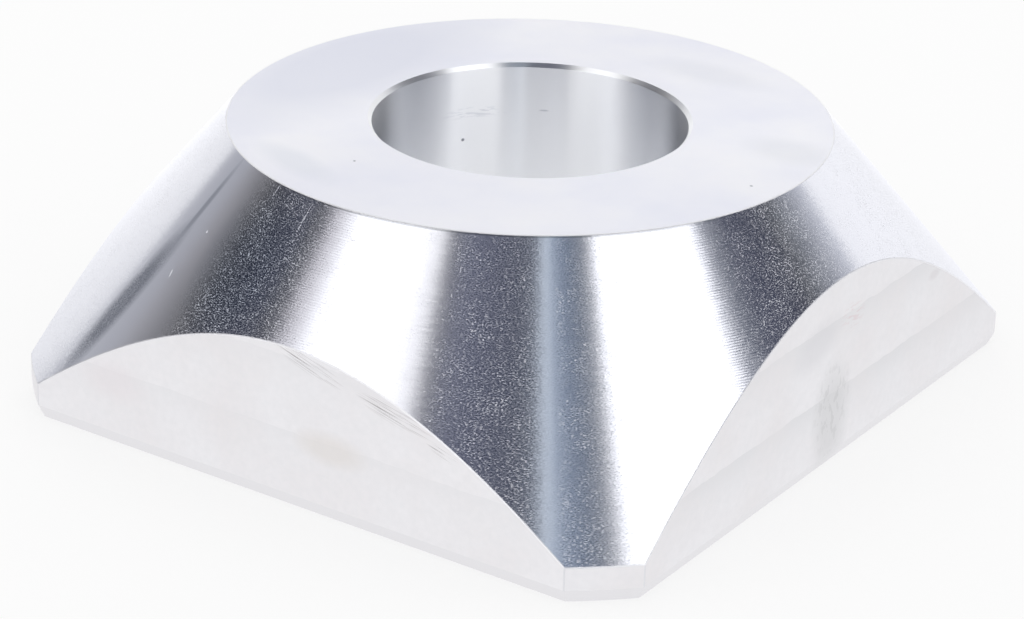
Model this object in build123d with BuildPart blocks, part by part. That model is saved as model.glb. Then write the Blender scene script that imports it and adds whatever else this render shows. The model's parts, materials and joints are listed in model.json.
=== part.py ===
from build123d import *
import os

# Wheel centering cone: one piece of aluminium, turned all round and milled flat on four sides.
# Millimetres, +Z up. The origin is the centre of the base, on the bore's axis.
os.makedirs("parts", exist_ok=True)

# The shaft that the cone slides on, and the bore made for it
shaft_diameter = 40.0
shaft_clearance = 0.05  # on the diameter, so that the cone slides by hand
bore_chamfer = 0.5

# The turned body, from the wide rim up to the flat top
base_diameter = 127.0
top_diameter = 76.5
height = 34.5
rim_height = 4.7  # straight wall left under the cone at each corner

# The milled flats, measured across the axis from flat to flat
front_flats_across = 99.5
side_flats_across = 92.5

# The bevel round the foot, taller than it is deep
foot_bevel_height = 1.8
foot_bevel_depth = 0.8

# The small chamfer that takes the burr off the top rim and the edges of the cone and flats
edge_break = 0.2

bore_radius = (shaft_diameter + shaft_clearance) / 2
base_radius = base_diameter / 2
top_radius = top_diameter / 2

# The turned blank: half of its section, spun about the axis
with BuildPart() as blank:
    with BuildSketch(Plane.XZ):
        with BuildLine():
            Polyline(
                (0, 0),
                (base_radius - foot_bevel_depth, 0),
                (base_radius, foot_bevel_height),
                (base_radius, rim_height),
                (top_radius, height),
                (0, height),
                close=True,
            )
        make_face()
    revolve(axis=Axis.Z)
    circles = blank.edges().filter_by(GeomType.CIRCLE)
    turned_rims = circles.filter_by_position(Axis.Z, rim_height, height)
    chamfer(turned_rims, length=edge_break)

# What the milling leaves standing: an upright block, with the same bevel round its foot
with BuildPart() as milled_block:
    with BuildSketch(Plane.XY):
        Rectangle(side_flats_across, front_flats_across)
    extrude(amount=height)
    foot = milled_block.faces().sort_by(Axis.Z)[0]
    chamfer(foot.edges(), length=foot_bevel_depth, length2=foot_bevel_height, reference=foot)

with BuildPart() as centering_cone:
    # Each flat runs straight down and meets the cone in an arched edge
    add(blank.part)
    add(milled_block.part, mode=Mode.INTERSECT)

    # The arches and upright corners of the flats lose their burr, down to the foot bevel
    flats = centering_cone.faces().filter_by(Axis.X) + centering_cone.faces().filter_by(Axis.Y)
    edges_of_flats = flats.edges().filter_by_position(
        Axis.Z, foot_bevel_height, height, inclusive=(False, True)
    )
    chamfer(edges_of_flats, length=edge_break)

    # Bore right through, chamfered at both mouths
    Hole(radius=bore_radius)
    bore_mouths = centering_cone.edges(Select.LAST).filter_by(GeomType.CIRCLE)
    chamfer(bore_mouths, length=bore_chamfer)

centering_cone.part.label = "centering_cone"
export_step(centering_cone.part, "parts/centering_cone.step")
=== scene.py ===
import json
from math import cos, hypot, pi, radians, sin

import bmesh
import bpy
from mathutils import Matrix, Vector


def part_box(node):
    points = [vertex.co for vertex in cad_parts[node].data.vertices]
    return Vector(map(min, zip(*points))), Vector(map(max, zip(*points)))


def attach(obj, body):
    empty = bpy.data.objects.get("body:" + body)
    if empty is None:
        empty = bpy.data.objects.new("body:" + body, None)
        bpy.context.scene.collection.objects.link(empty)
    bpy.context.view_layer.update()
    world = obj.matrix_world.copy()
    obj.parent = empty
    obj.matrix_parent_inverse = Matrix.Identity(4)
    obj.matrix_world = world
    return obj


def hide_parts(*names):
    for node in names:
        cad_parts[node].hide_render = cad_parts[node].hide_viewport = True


# Wheel centering cone, machined from one piece of aluminium.
# Metres, +Z up, origin at the middle of the base.
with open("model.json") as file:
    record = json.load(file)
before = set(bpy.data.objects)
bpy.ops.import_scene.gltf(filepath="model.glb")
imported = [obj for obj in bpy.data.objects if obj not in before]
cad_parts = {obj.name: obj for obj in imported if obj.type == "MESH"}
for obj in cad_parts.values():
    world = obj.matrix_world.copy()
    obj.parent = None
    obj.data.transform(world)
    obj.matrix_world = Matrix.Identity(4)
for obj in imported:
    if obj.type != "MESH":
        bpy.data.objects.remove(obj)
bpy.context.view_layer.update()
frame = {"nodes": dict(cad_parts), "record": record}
print("frame loaded:", ", ".join(frame["nodes"]))

mm = 0.001
perMm = 1000      # turns an Object coordinate into millimetres


# Small helpers

def fromHex(colour):
    parts = [int(colour[i:i + 2], 16) / 255 for i in (1, 3, 5)]
    return tuple(c / 12.92 if c <= 0.04045 else ((c + 0.055) / 1.055) ** 2.4 for c in parts) + (1.0,)


def direction(azimuth, elevation):
    a, e = radians(azimuth), radians(elevation)
    return Vector((cos(a) * cos(e), sin(a) * cos(e), sin(e)))


def newObject(name, bm):
    mesh = bpy.data.meshes.new(name)
    bm.to_mesh(mesh)
    bm.free()
    made = bpy.data.objects.new(name, mesh)
    bpy.context.scene.collection.objects.link(made)
    return made


def addNode(tree, kind, inputs=None, out=0, **settings):
    # inputs holds sockets to link and plain values, by the input's name or number
    # out is the name or number of the output that is handed back
    made = tree.nodes.new("ShaderNode" + kind)
    for name, value in settings.items():
        setattr(made, name, value)
    for name, value in (inputs or {}).items():
        if isinstance(value, bpy.types.NodeSocket):
            tree.links.new(value, made.inputs[name])
        else:
            made.inputs[name].default_value = value
    return made.outputs[out] if made.outputs else None


# Camera, at the photograph's viewing angle

camera = {
    "place": (210.83 * mm, -315.89 * mm, 178.28 * mm),
    "aim": (0.505 * mm, -3.770 * mm, 9.428 * mm),
    "roll": 1.47,       # degrees, clockwise in the picture
    "lens": 112.93,     # mm
    "sensor": 36,       # mm wide
}


def makeCamera():
    data = bpy.data.cameras.new("camera")
    data.lens = camera["lens"]
    data.sensor_width = camera["sensor"]
    made = bpy.data.objects.new("camera", data)
    bpy.context.scene.collection.objects.link(made)
    look = Vector(camera["aim"]) - Vector(camera["place"])
    level = look.to_track_quat("-Z", "Y").to_matrix().to_4x4()
    rolled = level @ Matrix.Rotation(radians(camera["roll"]), 4, "Z")
    made.matrix_world = Matrix.Translation(camera["place"]) @ rolled
    bpy.context.scene.camera = made


makeCamera()
print("camera placed")


# The body: the cone's section spun round, then cut flat on four sides, then its edges broken

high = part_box("centering_cone")[1]
boreMount = next(m for m in frame["record"]["mounts"] if m["name"] == "bore")

cone = {
    "height": high.z,
    "sideFlat": high.x,             # from the axis to the closer pair of flats
    "frontFlat": high.y,            # and to the wider pair
    "boreRadius": boreMount["dims"]["r_mm"] * mm,
    "boreChamfer": 0.5 * mm,
    "topRadius": 38.25 * mm,
    "rimRadius": 63.5 * mm,
    "rimHeight": 4.7 * mm,
    "footBevelHeight": 1.8 * mm,
    "footBevelDepth": 0.8 * mm,
    "edgeBreak": 0.12 * mm,
    "edgeSteps": 3,
    "facets": 480,                  # round the axis, so that reflections run smoothly
    "cutTolerance": 0.0001 * mm,    # how near a cut a corner counts as on it
    "heightTolerance": 0.01 * mm,   # how near two heights count as the same
    "burrAngle": 12,                # degrees, edges that turn more than this have a burr to lose
    "smoothAngle": 5,               # degrees, edges that turn less than this inside a finish look round
}


def spinBlank():
    # the section goes out along the base, up the rim and the cone, in over the top and down the bore
    c = cone
    section = [
        (c["boreRadius"] + c["boreChamfer"], 0),
        (c["rimRadius"] - c["footBevelDepth"], 0),
        (c["rimRadius"], c["footBevelHeight"]),
        (c["rimRadius"], c["rimHeight"]),
        (c["topRadius"], c["height"]),
        (c["boreRadius"] + c["boreChamfer"], c["height"]),
        (c["boreRadius"], c["height"] - c["boreChamfer"]),
        (c["boreRadius"], c["boreChamfer"]),
    ]
    bm = bmesh.new()
    corners = [bm.verts.new((r, 0, z)) for r, z in section]
    for start, end in zip(corners[-1:] + corners[:-1], corners):
        bm.edges.new((start, end))
    bmesh.ops.spin(bm, geom=bm.verts[:] + bm.edges[:], axis=(0, 0, 1), cent=(0, 0, 0),
                   angle=2 * pi, steps=c["facets"], use_merge=True)
    bmesh.ops.recalc_face_normals(bm, faces=bm.faces[:])
    return bm


def cutAway(bm, point, outward):
    # takes off what lies beyond a plane, and closes the cut with one face
    everything = bm.verts[:] + bm.edges[:] + bm.faces[:]
    cut = bmesh.ops.bisect_plane(bm, geom=everything, dist=cone["cutTolerance"],
                                 plane_co=point, plane_no=outward, clear_outer=True)
    border = [g for g in cut["geom_cut"] if isinstance(g, bmesh.types.BMEdge)]
    bmesh.ops.contextual_create(bm, geom=border)


def millFlats(bm):
    c = cone
    up = Vector((0, 0, 1))
    reaches = {0: c["sideFlat"], 90: c["frontFlat"], 180: c["sideFlat"], 270: c["frontFlat"]}
    for turn, reach in reaches.items():
        outward = direction(turn, 0)
        cutAway(bm, outward * reach, outward)
        bevelFaces = outward * c["footBevelHeight"] - up * c["footBevelDepth"]
        cutAway(bm, outward * reach + up * c["footBevelHeight"], bevelFaces.normalized())
    bmesh.ops.recalc_face_normals(bm, faces=bm.faces[:])


def losesBurr(edge):
    # the turned rims and all edges of the flats above the foot bevel do
    c = cone
    heights = [v.co.z - c["footBevelHeight"] for v in edge.verts]
    aboveFoot = max(heights) > c["heightTolerance"] and min(heights) > -c["heightTolerance"]
    boreEdge = c["boreRadius"] + 2 * c["boreChamfer"]
    outside = all(hypot(v.co.x, v.co.y) > boreEdge for v in edge.verts)
    return outside and aboveFoot and edge.calc_face_angle() > radians(c["burrAngle"])


def breakEdges(bm):
    burred = [e for e in bm.edges if losesBurr(e)]
    bmesh.ops.bevel(bm, geom=burred, offset=cone["edgeBreak"], offset_type="OFFSET", affect="EDGES",
                    segments=cone["edgeSteps"], profile=0.5, material=-1)


finishes = ["turned_cone", "faced_ends", "bored_wall", "milled_flats", "broken_edges"]

finishLimits = {
    "end": 0.999,                   # least share of an end's normal that is along Z
    "bore": -0.1,                   # most share of the bore's normals that is along the way out
    "slope": 0.01,                  # how near a slanted face comes to the cone's slope, or the foot's
    "rimSlope": 0.001,              # how near the low rim comes to upright
    "rim": 0.999,                   # least share of its normals that is along the way out
    "flat": 0.9999,                 # least share of a flat's normal that is along X or Y
}


def finishOf(face):
    # which tool left this face, told from which way it points; the low rim and the foot look like the flats
    c, limits = cone, finishLimits
    n, p = face.normal, face.calc_center_median()
    outward = Vector((p.x, p.y, 0)).normalized()
    coneSection = Vector((c["height"] - c["rimHeight"], c["rimRadius"] - c["topRadius"])).normalized()
    footSection = Vector((c["footBevelHeight"], -c["footBevelDepth"])).normalized()
    if abs(n.z) > limits["end"]:
        return "faced_ends"
    if n.dot(outward) < limits["bore"]:
        return "bored_wall"
    if abs(n.z - coneSection.y) < limits["slope"]:
        return "turned_cone"
    onRim = abs(n.z) < limits["rimSlope"] and n.dot(outward) > limits["rim"]
    onFlat = max(abs(n.x), abs(n.y)) > limits["flat"]
    onFoot = abs(n.z - footSection.y) < limits["slope"]
    return "milled_flats" if onRim or onFlat or onFoot else "broken_edges"


def makeBody():
    bm = spinBlank()
    millFlats(bm)
    breakEdges(bm)
    for face in bm.faces:
        face.smooth = True
        face.material_index = finishes.index(finishOf(face))
    for edge in bm.edges:
        # sharp between two finishes, and at the foot, the mouths and the corners inside one
        a, b = edge.link_faces
        gentle = edge.calc_face_angle() < radians(cone["smoothAngle"])
        filed = finishes[a.material_index] == "broken_edges"
        edge.smooth = a.material_index == b.material_index and (gentle or filed)
    return newObject("cone_body", bm)


body = makeBody()
print("body made:", len(body.data.polygons), "faces")


# Finishes: one bare aluminium throughout, and what differs is the tool that cut each surface

metal = {
    "colour": "#F4F5FD",        # bare machined aluminium, a little cool
}


def newMetal(name, roughness, anisotropy=0.0):
    material = bpy.data.materials.new(name)
    material.use_nodes = True
    shader = material.node_tree.nodes["Principled BSDF"]
    shader.inputs["Base Color"].default_value = fromHex(metal["colour"])
    shader.inputs["Metallic"].default_value = 1
    shader.inputs["Roughness"].default_value = roughness
    shader.inputs["Anisotropic"].default_value = anisotropy
    return material, material.node_tree, shader


def inMillimetres(tree):
    spot = addNode(tree, "TexCoord", out="Object")
    return addNode(tree, "Mapping", {"Vector": spot, "Scale": (perMm, perMm, perMm)})


def directions(tree, place):
    # the way out from the axis, the way round it, and the way down the section
    flat = addNode(tree, "VectorMath", {0: place, 1: (1, 1, 0)}, operation="MULTIPLY")
    outward = addNode(tree, "VectorMath", {0: flat}, operation="NORMALIZE")
    around = addNode(tree, "VectorMath", {0: (0, 0, 1), 1: outward}, operation="CROSS_PRODUCT")
    normal = addNode(tree, "NewGeometry", out="Normal")
    down = addNode(tree, "VectorMath", {0: around, 1: normal}, operation="CROSS_PRODUCT")
    return outward, around, down


def nearAzimuth(tree, outward, azimuth, full, gone):
    # 1 as far as full degrees from the azimuth, and 0 from gone degrees on
    facing = addNode(tree, "VectorMath", {0: outward, 1: direction(azimuth, 0)}, out="Value",
                     operation="DOT_PRODUCT")
    return addNode(tree, "MapRange", {"Value": facing, "From Min": cos(radians(gone)),
                                      "From Max": cos(radians(full))})


def byHeight(tree, place, start, end, under, over):
    # goes from under to over between two heights, in mm
    height = addNode(tree, "SeparateXYZ", {0: place}, out="Z")
    return addNode(tree, "MapRange", {"Value": height, "From Min": start, "From Max": end,
                                      "To Min": under, "To Max": over})


def clouds(tree, place, size, low, high, detail=1.0, cut=(0.3, 0.7)):
    # cloudy patches of this size in mm, from low where the noise is below the cut to high where it is above
    pattern = addNode(tree, "TexNoise", {"Vector": place, "Scale": 1 / size, "Detail": detail}, out="Fac")
    return addNode(tree, "MapRange", {"Value": pattern, "From Min": cut[0], "From Max": cut[1],
                                      "To Min": low, "To Max": high})


def toolLines(tree, place, outward, pitch, run):
    # noise drawn out round the axis: pitch in mm up it, run in degrees round it
    perPitch = 2.0      # patches of noise, a light one and a dark one
    stacked = addNode(tree, "VectorMath", {0: place, 1: (0, 0, 1 / pitch)}, operation="MULTIPLY")
    wound = addNode(tree, "VectorMath", {0: outward, "Scale": 1 / radians(run)}, operation="SCALE")
    drawn = addNode(tree, "VectorMath", {0: stacked, 1: wound}, operation="ADD")
    return addNode(tree, "TexNoise", {"Vector": drawn, "Scale": perPitch, "Detail": 1.0}, out="Fac")


def leaning(tree, way, pattern, depth):
    # a vector along way, as long as the pattern lies above or below its middle
    centred = addNode(tree, "Math", {0: pattern, 1: 0.5}, operation="SUBTRACT")
    length = addNode(tree, "Math", {0: centred, 1: depth}, operation="MULTIPLY")
    return addNode(tree, "VectorMath", {0: way, "Scale": length}, operation="SCALE")


def leaningUp(tree, place, start, lift):
    # a vector up, from the height start in mm on, where an edge catches the light from above
    ramp = 0.1      # mm until it has its whole length
    length = byHeight(tree, place, start, start + ramp, 0, lift)
    return addNode(tree, "VectorMath", {0: (0, 0, 1), "Scale": length}, operation="SCALE")


def tiltedNormal(tree, leans):
    tilted = addNode(tree, "NewGeometry", out="Normal")
    for lean in leans:
        tilted = addNode(tree, "VectorMath", {0: tilted, 1: lean}, operation="ADD")
    return addNode(tree, "VectorMath", {0: tilted}, operation="NORMALIZE")


markShape = {
    "fade": 0.6,                # how far into a mark from its edge it has its whole depth
    "streakEdge": 0.06,         # how softly the streaks in it end
}


def markShare(tree, place, mark):
    # an ellipse that fades to its edge, and streaks break it up
    turn = tuple(radians(angle) for angle in mark.get("turn", (0, 0, 0)))
    local = addNode(tree, "Mapping", {"Vector": place, "Location": mark["centre"], "Rotation": turn,
                                      "Scale": mark["half"]}, vector_type="TEXTURE")
    inside = addNode(tree, "TexGradient", {"Vector": local}, out="Fac", gradient_type="SPHERICAL")
    share = addNode(tree, "MapRange", {"Value": inside, "From Max": markShape["fade"],
                                       "To Max": mark.get("depth", 1.0)})
    if "streaks" not in mark:
        return share
    drawn = addNode(tree, "VectorMath", {0: local, 1: mark["streaks"]}, operation="MULTIPLY")
    cut = (mark["cut"], mark["cut"] + markShape["streakEdge"])
    shown = clouds(tree, drawn, 1.0, 0, 1, detail=2.0, cut=cut)
    return addNode(tree, "Math", {0: share, 1: shown}, operation="MULTIPLY")


def marked(tree, place, colour, marks):
    # a Mix node's colours are its inputs 6 and 7 and its output 2, here and below
    for mark in marks:
        share = markShare(tree, place, mark)
        colour = addNode(tree, "Mix", {0: share, 6: colour, 7: fromHex(mark["tint"])}, out=2,
                         data_type="RGBA")
    return colour


turned = {
    "roughness": 0.284,
    "anisotropy": 1.0,          # the cut runs round, so light spreads up and down the cone
    "linePitch": 0.20,          # mm between the tool's lines
    "lineRun": 8.0,             # degrees round that a line keeps its depth
    "lineTilt": 0.02,           # how far a line leans
    "feed": 0.24,               # mm of height that the tool rises in a turn, coarser than real to show
    "chatterAt": (-90, -24),    # azimuths where the tool chattered, and each turn left a ridge
    "chatterReach": 8,          # degrees
    "chatterTilt": 0.026,
    "ridgeBend": 2.0,           # how far the ridges stray
    "grainPitch": 0.20,         # mm up the cone, the torn grain of the metal, coarser than real to show
    "grainRun": 0.6,            # degrees round it
    "grainTilt": 2.7,           # how far it leans up and down the cone
    "grainTurn": 0.03,          # and round it
    "patch": 3.0,               # mm, slow changes of how far the grain leans
    "patchDepth": 0.35,
    "stripeTilt": 1.6,          # how far the grain leans in the stripe of painted dark reflection
    "smoothAt": -118.5,         # azimuth where the tool left next to no grain
    "smoothReach": (5, 11),     # degrees to where the grain starts, and to where it is full
    "streakAt": -53.3,          # azimuth of a narrow streak that is nearly as smooth
    "streakReach": (0.4, 1.8),
    "streakShare": 0.8,         # share of the grain that is missing there
    "shadowRing": "#C4C6CC",        # painted shadow: a dull ring just under the top edge
    "shadowRingDepth": 0.24,        # mm below the top where the ring ends
    "shadowRingEdge": 0.05,         # mm above and below there over which it fades
    "shadowRingAt": -62,            # azimuth of its middle
    "shadowRingReach": (30, 48),    # degrees to where it starts to fade, and to where it is gone
    "marks": [                  # a painted dark reflection as a narrow stripe down the left, its faint end, and a darker patch
        {"centre": (-29.8, -44.3, 16.6), "half": (15, 2.6, 3), "turn": (0, 49.7, -134),
         "tint": "#A0A3AE", "depth": 1.0},
        {"centre": (-23.1, -37.2, 28.5), "half": (9, 0.7, 2), "turn": (0, 49.7, -128),
         "tint": "#C4C6D0", "depth": 1.0},
        {"centre": (-11.0, -44.1, 26.0), "half": (12, 8.5, 6), "turn": (0, 49.7, -104),
         "tint": "#D2D8E6", "depth": 1.0},
    ],
    "ticks": [                  # two bright scratches and four nicks
        {"centre": (-11.2, -37.2, 33.7), "half": (1.2, 0.11, 1), "turn": (0, 49.7, -108)},
        {"centre": (-5.2, -39.8, 32.3), "half": (3.0, 0.11, 1), "turn": (0, 49.7, -101)},
        {"centre": (-11.0, -42.9, 27.4), "half": (0.5, 0.16, 1), "turn": (0, 49.7, -70)},
        {"centre": (42.9, -7.9, 28.2), "half": (0.5, 0.16, 1), "turn": (0, 49.7, 10)},
        {"centre": (-19.9, -39.9, 27.0), "half": (0.25, 0.18, 1), "turn": (0, 49.7, -80)},
        {"centre": (-22.9, -43.2, 21.9), "half": (0.7, 0.14, 1), "turn": (0, 49.7, -90)},
    ],
    "tickTilt": 0.55,
}


def tornGrain(tree, place, outward):
    # the grain, and how far it leans up and down the cone
    t = turned
    smooth = nearAzimuth(tree, outward, t["smoothAt"], *t["smoothReach"])
    streak = nearAzimuth(tree, outward, t["streakAt"], *t["streakReach"])
    streak = addNode(tree, "Math", {0: streak, 1: t["streakShare"]}, operation="MULTIPLY")
    smooth = addNode(tree, "Math", {0: smooth, 1: streak}, operation="MAXIMUM")
    torn = addNode(tree, "MapRange", {"Value": smooth, "To Min": t["grainTilt"], "To Max": 0})
    # the grain leans further in the stripe of painted dark reflection down the left
    darkStripe = markShare(tree, place, t["marks"][0])
    darkStripe = addNode(tree, "Math", {0: darkStripe, 1: t["stripeTilt"]}, operation="MULTIPLY")
    torn = addNode(tree, "Math", {0: torn, 1: darkStripe}, operation="ADD")
    patches = clouds(tree, place, t["patch"], 1 - t["patchDepth"], 1 + t["patchDepth"], detail=3.0)
    tilt = addNode(tree, "Math", {0: torn, 1: patches}, operation="MULTIPLY")
    return toolLines(tree, place, outward, t["grainPitch"], t["grainRun"]), tilt


def chatterRidges(tree, place, outward):
    # the ridges, and how far they lean round the cone
    t = turned
    places = [nearAzimuth(tree, outward, azimuth, 0, t["chatterReach"]) for azimuth in t["chatterAt"]]
    shown = addNode(tree, "Math", dict(enumerate(places)), operation="MAXIMUM")
    tilt = addNode(tree, "Math", {0: shown, 1: t["chatterTilt"]}, operation="MULTIPLY")
    bandTurn = 20       # radians a millimetre that the bands of a wave texture turn at a scale of 1
    scale = 2 * pi / (bandTurn * t["feed"])
    ridges = addNode(tree, "TexWave", {"Vector": place, "Scale": scale, "Distortion": t["ridgeBend"],
                                       "Detail": 1.0}, out="Fac", bands_direction="Z")
    return ridges, tilt


def turnedFinish():
    # turned aluminium: fine rings that stretch each reflection into a band down the cone, torn grain that
    # sparkles where the reflection is dark, and ridges that leave the edge of a bright band ragged
    t = turned
    material, tree, shader = newMetal("turned_aluminium", t["roughness"], t["anisotropy"])
    place = inMillimetres(tree)
    outward, around, down = directions(tree, place)
    tree.links.new(down, shader.inputs["Tangent"])

    lines = toolLines(tree, place, outward, t["linePitch"], t["lineRun"])
    ridges, ridgeTilt = chatterRidges(tree, place, outward)
    grain, grainTilt = tornGrain(tree, place, outward)
    leans = [
        leaning(tree, around, lines, t["lineTilt"]),
        leaning(tree, around, ridges, ridgeTilt),
        leaning(tree, down, grain, grainTilt),
        leaning(tree, around, grain, t["grainTurn"]),
    ]
    for tick in t["ticks"]:
        bright = addNode(tree, "Math", {0: markShare(tree, place, tick), 1: t["tickTilt"]},
                         operation="MULTIPLY")
        leans.append(addNode(tree, "VectorMath", {0: down, "Scale": bright}, operation="SCALE"))
    tree.links.new(tiltedNormal(tree, leans), shader.inputs["Normal"])

    # painted dark reflection: the marks darken a narrow stripe down the left, and they also darken a patch
    stripeAndPatch = marked(tree, place, fromHex(metal["colour"]), t["marks"])
    # painted shadow: a dull ring just under the top edge, only round one side of the cone
    ringEnd = cone["height"] * perMm - t["shadowRingDepth"]
    shadowLineShare = byHeight(tree, place, ringEnd - t["shadowRingEdge"], ringEnd + t["shadowRingEdge"], 0, 1)
    shown = nearAzimuth(tree, outward, t["shadowRingAt"], *t["shadowRingReach"])
    shadowLineShare = addNode(tree, "Math", {0: shadowLineShare, 1: shown}, operation="MULTIPLY")
    shadowRinged = addNode(tree, "Mix", {0: shadowLineShare, 6: stripeAndPatch, 7: fromHex(t["shadowRing"])}, out=2, data_type="RGBA")
    tree.links.new(shadowRinged, shader.inputs["Base Color"])
    return material


faced = {
    "roughness": 0.42,
    "anisotropy": 0.3,
    "pale": "#FBFBFF",
    "dull": "#F2F3FC",
    "patch": 14.0,              # mm
    "marks": [                  # four soft stains and two dots
        {"centre": (-30, 2, 34.5), "half": (15, 34, 2), "tint": "#E4E6F1", "depth": 0.8},
        {"centre": (9.5, 28, 34.5), "half": (11, 4.5, 2), "tint": "#E6E8F0", "depth": 0.4},
        {"centre": (32, 10, 34.5), "half": (7.5, 5, 2), "tint": "#E6E8EE", "depth": 0.4},
        {"centre": (-14, -30, 34.5), "half": (9.5, 3.2, 2), "turn": (0, 0, -20),
         "tint": "#E4E8F0", "depth": 0.4},
        {"centre": (-8.5, -25.5, 34.5), "half": (0.22, 0.22, 1), "tint": "#8C8F98", "depth": 1.0},
        {"centre": (34, -2.7, 34.5), "half": (0.28, 0.22, 1), "tint": "#9C9FA8", "depth": 1.0},
    ],
}


def facedFinish():
    # aluminium faced with a flat tool: a pale, even sheen with faint cloudy patches, a few stains and dots
    f = faced
    material, tree, shader = newMetal("faced_aluminium", f["roughness"], f["anisotropy"])
    place = inMillimetres(tree)
    tree.links.new(directions(tree, place)[2], shader.inputs["Tangent"])
    patches = clouds(tree, place, f["patch"], 0, 1, detail=4.0)
    cloudy = addNode(tree, "Mix", {0: patches, 6: fromHex(f["dull"]), 7: fromHex(f["pale"])}, out=2,
                     data_type="RGBA")
    tree.links.new(marked(tree, place, cloudy, f["marks"]), shader.inputs["Base Color"])
    return material


bored = {
    "colour": "#FBFCFF",        # painted light: paler than the metal, for the light that its many reflections bring
    "roughness": 0.30,
    "anisotropy": 1.0,
    "mouthRoughness": 0.40,     # on the chamfer of the upper mouth
    "mouthEdge": 0.02,          # mm above and below the chamfer's start over which that changes
    "mouthLift": 1.0,           # how far the chamfer leans up
    "marks": [                  # a spot and two rubbed places
        {"centre": (-17.34, 10.01, 24.3), "half": (0.3, 0.3, 0.28), "tint": "#888B94", "depth": 1.0},
        {"centre": (-16.5, 11.3, 28), "half": (5, 5, 1.0), "tint": "#C4C8D2", "depth": 0.35,
         "streaks": (3, 3, 3), "cut": 0.52},
        {"centre": (-9.6, 17.6, 28), "half": (0.8, 0.8, 0.16), "tint": "#A0A3AE", "depth": 0.45},
    ],
}


def boredFinish():
    # bored aluminium: rings too fine to show, which draw reflections out into upright bands of light
    # and shade down the wall
    b = bored
    material, tree, shader = newMetal("bored_aluminium", b["roughness"], b["anisotropy"])
    place = inMillimetres(tree)
    tree.links.new(directions(tree, place)[2], shader.inputs["Tangent"])
    # the paler colour is painted light inside the bore
    tree.links.new(marked(tree, place, fromHex(b["colour"]), b["marks"]), shader.inputs["Base Color"])
    mouth = (cone["height"] - cone["boreChamfer"]) * perMm
    rough = byHeight(tree, place, mouth - b["mouthEdge"], mouth + b["mouthEdge"],
                     b["roughness"], b["mouthRoughness"])
    tree.links.new(rough, shader.inputs["Roughness"])
    lift = leaningUp(tree, place, mouth, b["mouthLift"])
    tree.links.new(tiltedNormal(tree, [lift]), shader.inputs["Normal"])
    return material


milled = {
    "roughness": 0.40,
    "passDepth": 9.7,           # mm of height that the cutter takes in one pass
    "firstPass": 0.4,           # mm, where the lowest one would end
    "wander": 0.15,             # mm that the step strays
    "wanderPatch": 3.0,         # mm along it from one stray to the next
    "pale": "#F1F0F3",          # just above a step
    "dull": "#E4E4E7",          # just below one
    "fall": 3.0,                # how late through a pass it dulls
    "frontShare": 0.4,          # share of that left on the flats that face Y
    "frontEnds": (1.0, 0.5),    # mm inside the flats that face X where the share starts and stops changing
    "pink": "#ECE9EB",          # in clouds
    "patch": 12.0,              # mm, their size
    "patchDepth": 0.8,          # share of the pink in their middle
    "patchCut": (0.4, 0.7),     # where in the noise they start, and where they are full
    "speckle": 0.9,             # mm, the size of dull specks
    "speckleDepth": 0.3,        # share of the dull tone in them
    "foot": "#E9E8EB",          # painted shade on the bevel round the foot, which faces down
    "footEdge": 0.05,           # mm below the bevel's top over which that starts
    "marks": [
        # on the flat at +X: a rubbed streak, a faint smear, red-brown rub marks and a spot
        {"centre": (46.25, -1.5, 6.8), "half": (3, 5.2, 8.8), "tint": "#D6D6D8", "depth": 0.6},
        {"centre": (46.25, -1.5, 8.2), "half": (3, 5.0, 7.4), "tint": "#CCCCCE", "depth": 0.5,
         "streaks": (1, 6, 5), "cut": 0.54},
        {"centre": (46.25, -6, 18), "half": (3, 7, 3.4), "turn": (12, 0, 0),
         "tint": "#D6D5DA", "depth": 0.3},
        {"centre": (46.25, 2.5, 19), "half": (3, 3.2, 2.2), "tint": "#DCC4C8", "depth": 0.35,
         "streaks": (1, 2, 6), "cut": 0.52},
        {"centre": (46.25, 23.8, 17), "half": (3, 1.8, 0.9), "tint": "#C6BEC2", "depth": 0.22},
        # on the flat at -Y: two bundles of scratches and a short one beside the arch, and two faint stains
        {"centre": (3.4, -49.75, 19.5), "half": (5.4, 3, 1.3), "turn": (0, 17, 0),
         "tint": "#A6A2A4", "depth": 0.9, "streaks": (0.7, 1, 14), "cut": 0.54},
        {"centre": (15.7, -49.75, 16.6), "half": (5.8, 3, 1.3), "turn": (0, 13, 0),
         "tint": "#A6A2A4", "depth": 0.9, "streaks": (0.7, 1, 14), "cut": 0.53},
        {"centre": (22.6, -49.75, 13.9), "half": (2.6, 3, 0.9), "turn": (0, 16, 0),
         "tint": "#A6A2A4", "depth": 0.8, "streaks": (0.5, 1, 9), "cut": 0.55},
        {"centre": (6.4, -49.75, 9.4), "half": (6, 3, 2.6), "tint": "#E0DAD4", "depth": 0.4},
        {"centre": (-27, -49.75, 8.7), "half": (6, 3, 3.2), "tint": "#E8E0E4", "depth": 0.3},
    ],
}


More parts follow.
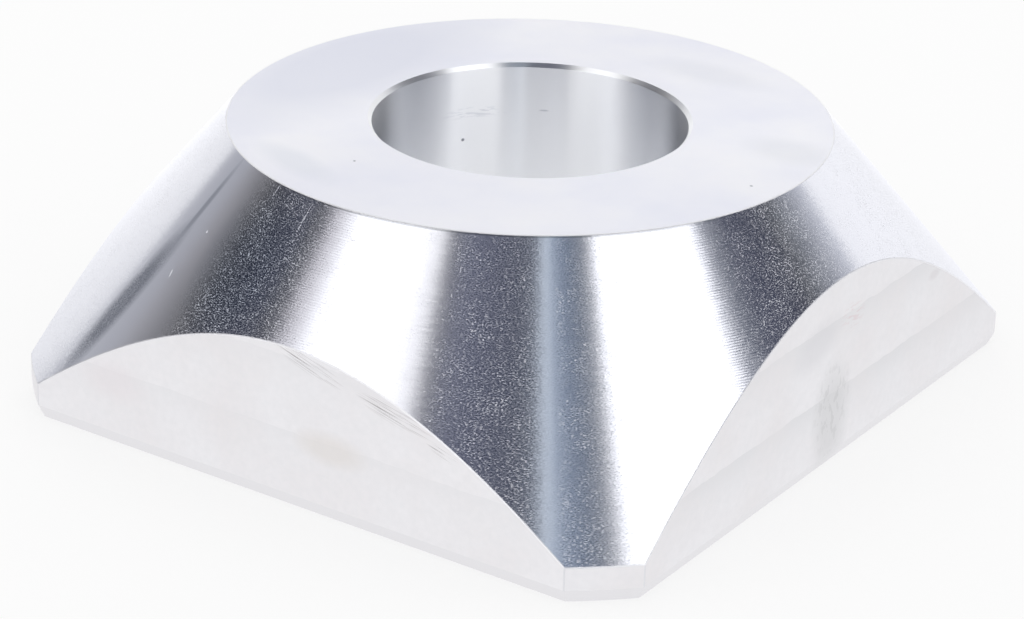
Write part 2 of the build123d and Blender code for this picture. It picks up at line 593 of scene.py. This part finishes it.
def passShade(tree, place):
    # 0 just above each step that a pass of the cutter left, rising to 1 just below the next
    m = milled
    height = addNode(tree, "SeparateXYZ", {0: place}, out="Z")
    stray = clouds(tree, place, m["wanderPatch"], -m["wander"], m["wander"], detail=2.0)
    strayed = addNode(tree, "Math", {0: height, 1: stray}, operation="ADD")
    passes = addNode(tree, "Math", {0: strayed, 1: 1 / m["passDepth"], 2: -m["firstPass"] / m["passDepth"]},
                     operation="MULTIPLY_ADD")
    through = addNode(tree, "Math", {0: passes}, operation="FRACT")
    shade = addNode(tree, "Math", {0: through, 1: m["fall"]}, operation="POWER")

    sideways = addNode(tree, "SeparateXYZ", {0: place}, out="X")
    sideways = addNode(tree, "Math", {0: sideways}, operation="ABSOLUTE")
    starts, stops = (cone["sideFlat"] * perMm - inside for inside in m["frontEnds"])
    share = addNode(tree, "MapRange", {"Value": sideways, "From Min": starts, "From Max": stops,
                                       "To Min": m["frontShare"], "To Max": 1})
    return addNode(tree, "Math", {0: shade, 1: share}, operation="MULTIPLY")


def milledFinish():
    # aluminium milled with the side of a cutter: pale satin with faint pink clouds and a step at each pass
    m = milled
    material, tree, shader = newMetal("milled_aluminium", m["roughness"])
    place = inMillimetres(tree)
    dull = fromHex(m["dull"])
    stepped = addNode(tree, "Mix", {0: passShade(tree, place), 6: fromHex(m["pale"]), 7: dull}, out=2,
                      data_type="RGBA")
    patches = clouds(tree, place, m["patch"], 0, m["patchDepth"], detail=4.0, cut=m["patchCut"])
    clouded = addNode(tree, "Mix", {0: patches, 6: stepped, 7: fromHex(m["pink"])}, out=2,
                      data_type="RGBA")
    specks = clouds(tree, place, m["speckle"], 0, m["speckleDepth"], detail=3.0)
    speckled = addNode(tree, "Mix", {0: specks, 6: clouded, 7: dull}, out=2, data_type="RGBA")
    # painted shade: the bevel round the foot is darker, as it faces down to the floor
    footEnd = cone["footBevelHeight"] * perMm
    foot = byHeight(tree, place, footEnd - m["footEdge"], footEnd, 1, 0)
    footed = addNode(tree, "Mix", {0: foot, 6: speckled, 7: fromHex(m["foot"])}, out=2, data_type="RGBA")
    tree.links.new(marked(tree, place, footed, m["marks"]), shader.inputs["Base Color"])
    return material


broken = {
    "roughness": 0.5,
    "arches": "#FCFCFF",        # catches the light
    "corners": "#E6E6EA",       # of the low rim
    "cornerFade": 0.2,          # mm below the rim's top over which one tone becomes the other
    "topDepth": 0.3,            # mm below the top that its edge reaches
    "topLift": 3.0,             # how far that edge leans up
}


def edgeFinish():
    # edges broken with a file: brighter than the faces beside them, apart from the corners of the low rim
    e = broken
    material, tree, shader = newMetal("broken_edge_aluminium", e["roughness"])
    place = inMillimetres(tree)
    rimTop = cone["rimHeight"] * perMm
    rise = byHeight(tree, place, rimTop - e["cornerFade"], rimTop, 0, 1)
    tone = addNode(tree, "Mix", {0: rise, 6: fromHex(e["corners"]), 7: fromHex(e["arches"])}, out=2,
                   data_type="RGBA")
    tree.links.new(tone, shader.inputs["Base Color"])
    topEdge = cone["height"] * perMm - e["topDepth"]
    lift = leaningUp(tree, place, topEdge, e["topLift"])
    tree.links.new(tiltedNormal(tree, [lift]), shader.inputs["Normal"])
    return material


for makeFinish in (turnedFinish, facedFinish, boredFinish, milledFinish, edgeFinish):
    body.data.materials.append(makeFinish())
print("finishes made:", len(body.data.materials))

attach(body, "root")
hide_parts("centering_cone")


# Studio: a white floor and surround, with dark screens and bright softboxes that only the metal mirrors

studio = {
    # azimuths round the cone that mirror each screen, its colour, and how bright at both
    "screens": [
        (-175, -142, "#FFFFFF", 2.2, 1.0),
        (-138, -126.5, "#FFFFFF", 0.90, 0.82),
        (-126.5, -117, "#E2E5EE", 0.47, 0.45),
        (-117, -107, "#DCDBE0", 0.45, 0.05),
        (-107, -95, "#B2BEF4", 0.03, 0.08),
        (-95, -91.4, "#B8C8F0", 0.02, 0.06),
        (-91.4, -88.5, "#F8F4F8", 0.66, 0.74),
        (-88.5, -86.5, "#FFFFFF", 0.82, 1.2),
        (-86.5, -73.5, "#FFFFFF", 1.5, 1.5),
        (-73.5, -69.7, "#F6F5F4", 1.35, 1.20),
        (-69.7, -67, "#D0D8FF", 0.06, 0.10),
        (-67, -53.7, "#D0D8FF", 0.185, 0.07),
        (-53.7, -52.7, "#D6DFE4", 2.0, 2.0),
        (-52.7, -45.4, "#B0CCF4", 0.37, 0.02),
        (-45.4, -44.3, "#FFFFFF", 2.2, 1.8),
        (-44.3, -26.9, "#FFFFFF", 1.6, 1.6),
        (-26.9, -22, "#C8D4F0", 0.22, 0.13),
        (-22, -11, "#B2BEFF", 0.08, 0.045),
        (-11, -4, "#D4DAE6", 0.04, 0.39),
        (-4, 2.4, "#E0E4EE", 0.38, 0.75),
        (36, 60, "#FFFFFF", 1.0, 2.0),
    ],
    "screenTilts": (11, 78),    # from which to which tilt a facet of the cone mirrors them
    "screenGrid": (8, 24),      # squares across and up a screen
    "screenDistance": 2.0,      # metres
    "surround": "#FFFFFF",
    "floor": "#F5F5F5",
    "floorReach": 6,            # metres from the middle to a side
    "floorGap": 0.02 * mm,      # keeps the floor clear of the base, so that the base shows from below
    "floorGlow": 0.75,          # share of the floor's white that no shadow touches, for the camera
    "mirroredGlow": 0.95,       # and for what the metal mirrors
}


def mirrored(azimuth, tilt):
    # where a facet half way down the cone looks, when it faces this azimuth and tilt
    facet = direction(azimuth, tilt)
    halfRadius = (cone["topRadius"] + cone["rimRadius"]) / 2
    halfHeight = (cone["height"] + cone["rimHeight"]) / 2
    middle = direction(azimuth, 0) * halfRadius + Vector((0, 0, halfHeight))
    toViewer = (Vector(camera["place"]) - middle).normalized()
    return 2 * toViewer.dot(facet) * facet - toViewer


def makeScreen(name, start, end, colour, startLight, endLight):
    columns, rows = studio["screenGrid"]
    lowest, highest = studio["screenTilts"]
    bm = bmesh.new()
    bm.loops.layers.uv.new("across")
    bmesh.ops.create_grid(bm, x_segments=columns, y_segments=rows, size=1, calc_uvs=True)
    for v in bm.verts:
        azimuth = start + (end - start) * (v.co.x + 1) / 2
        tilt = lowest + (highest - lowest) * (v.co.y + 1) / 2
        v.co = mirrored(azimuth, tilt) * studio["screenDistance"]
    screen = newObject(name, bm)
    screen.visible_camera = False
    screen.visible_diffuse = False
    screen.visible_shadow = False
    material = bpy.data.materials.new(name)
    material.use_nodes = True
    tree = material.node_tree
    tree.nodes.clear()
    across = addNode(tree, "SeparateXYZ", {0: addNode(tree, "TexCoord", out="UV")}, out="X")
    level = addNode(tree, "MapRange", {"Value": across, "To Min": startLight, "To Max": endLight})
    glow = addNode(tree, "Emission", {"Color": fromHex(colour), "Strength": level})
    addNode(tree, "OutputMaterial", {"Surface": glow})
    screen.data.materials.append(material)


def glowShare(tree):
    # how far a ray that shows the floor itself, to the camera, off metal or through glass, sees it glow
    toCamera = addNode(tree, "LightPath", out="Is Camera Ray")
    offMetal = addNode(tree, "LightPath", out="Is Glossy Ray")
    throughGlass = addNode(tree, "LightPath", out="Is Transmission Ray")
    passedOn = addNode(tree, "Math", {0: offMetal, 1: throughGlass}, operation="ADD", use_clamp=True)
    seen = addNode(tree, "Math", {0: toCamera, 1: studio["floorGlow"]}, operation="MULTIPLY")
    return addNode(tree, "Math", {0: passedOn, 1: studio["mirroredGlow"], 2: seen},
                   operation="MULTIPLY_ADD")


def makeFloor():
    bm = bmesh.new()
    bmesh.ops.create_grid(bm, x_segments=1, y_segments=1, size=studio["floorReach"])
    bmesh.ops.translate(bm, verts=bm.verts[:], vec=(0, 0, -studio["floorGap"]))
    floor = newObject("floor", bm)
    material = bpy.data.materials.new("matt_white_floor")
    material.use_nodes = True
    tree = material.node_tree
    tree.nodes.clear()
    paint = addNode(tree, "BsdfDiffuse", {"Color": fromHex(studio["floor"])})
    glow = addNode(tree, "Emission", {"Color": fromHex("#FFFFFF"), "Strength": 1.0})
    above = addNode(tree, "MixShader", {0: glowShare(tree), 1: paint, 2: glow})
    below = addNode(tree, "BsdfTransparent")
    fromBelow = addNode(tree, "NewGeometry", out="Backfacing")
    surface = addNode(tree, "MixShader", {0: fromBelow, 1: above, 2: below})
    addNode(tree, "OutputMaterial", {"Surface": surface})
    floor.data.materials.append(material)


def makeSurround():
    world = bpy.data.worlds.new("surround")
    bpy.context.scene.world = world
    world.use_nodes = True
    background = world.node_tree.nodes["Background"]
    background.inputs["Color"].default_value = fromHex(studio["surround"])
    background.inputs["Strength"].default_value = 1.0


for number, screen in enumerate(studio["screens"]):
    makeScreen("screen_%d" % number, *screen)
makeFloor()
makeSurround()
bpy.context.scene.view_settings.view_transform = "Standard"
print("studio set")
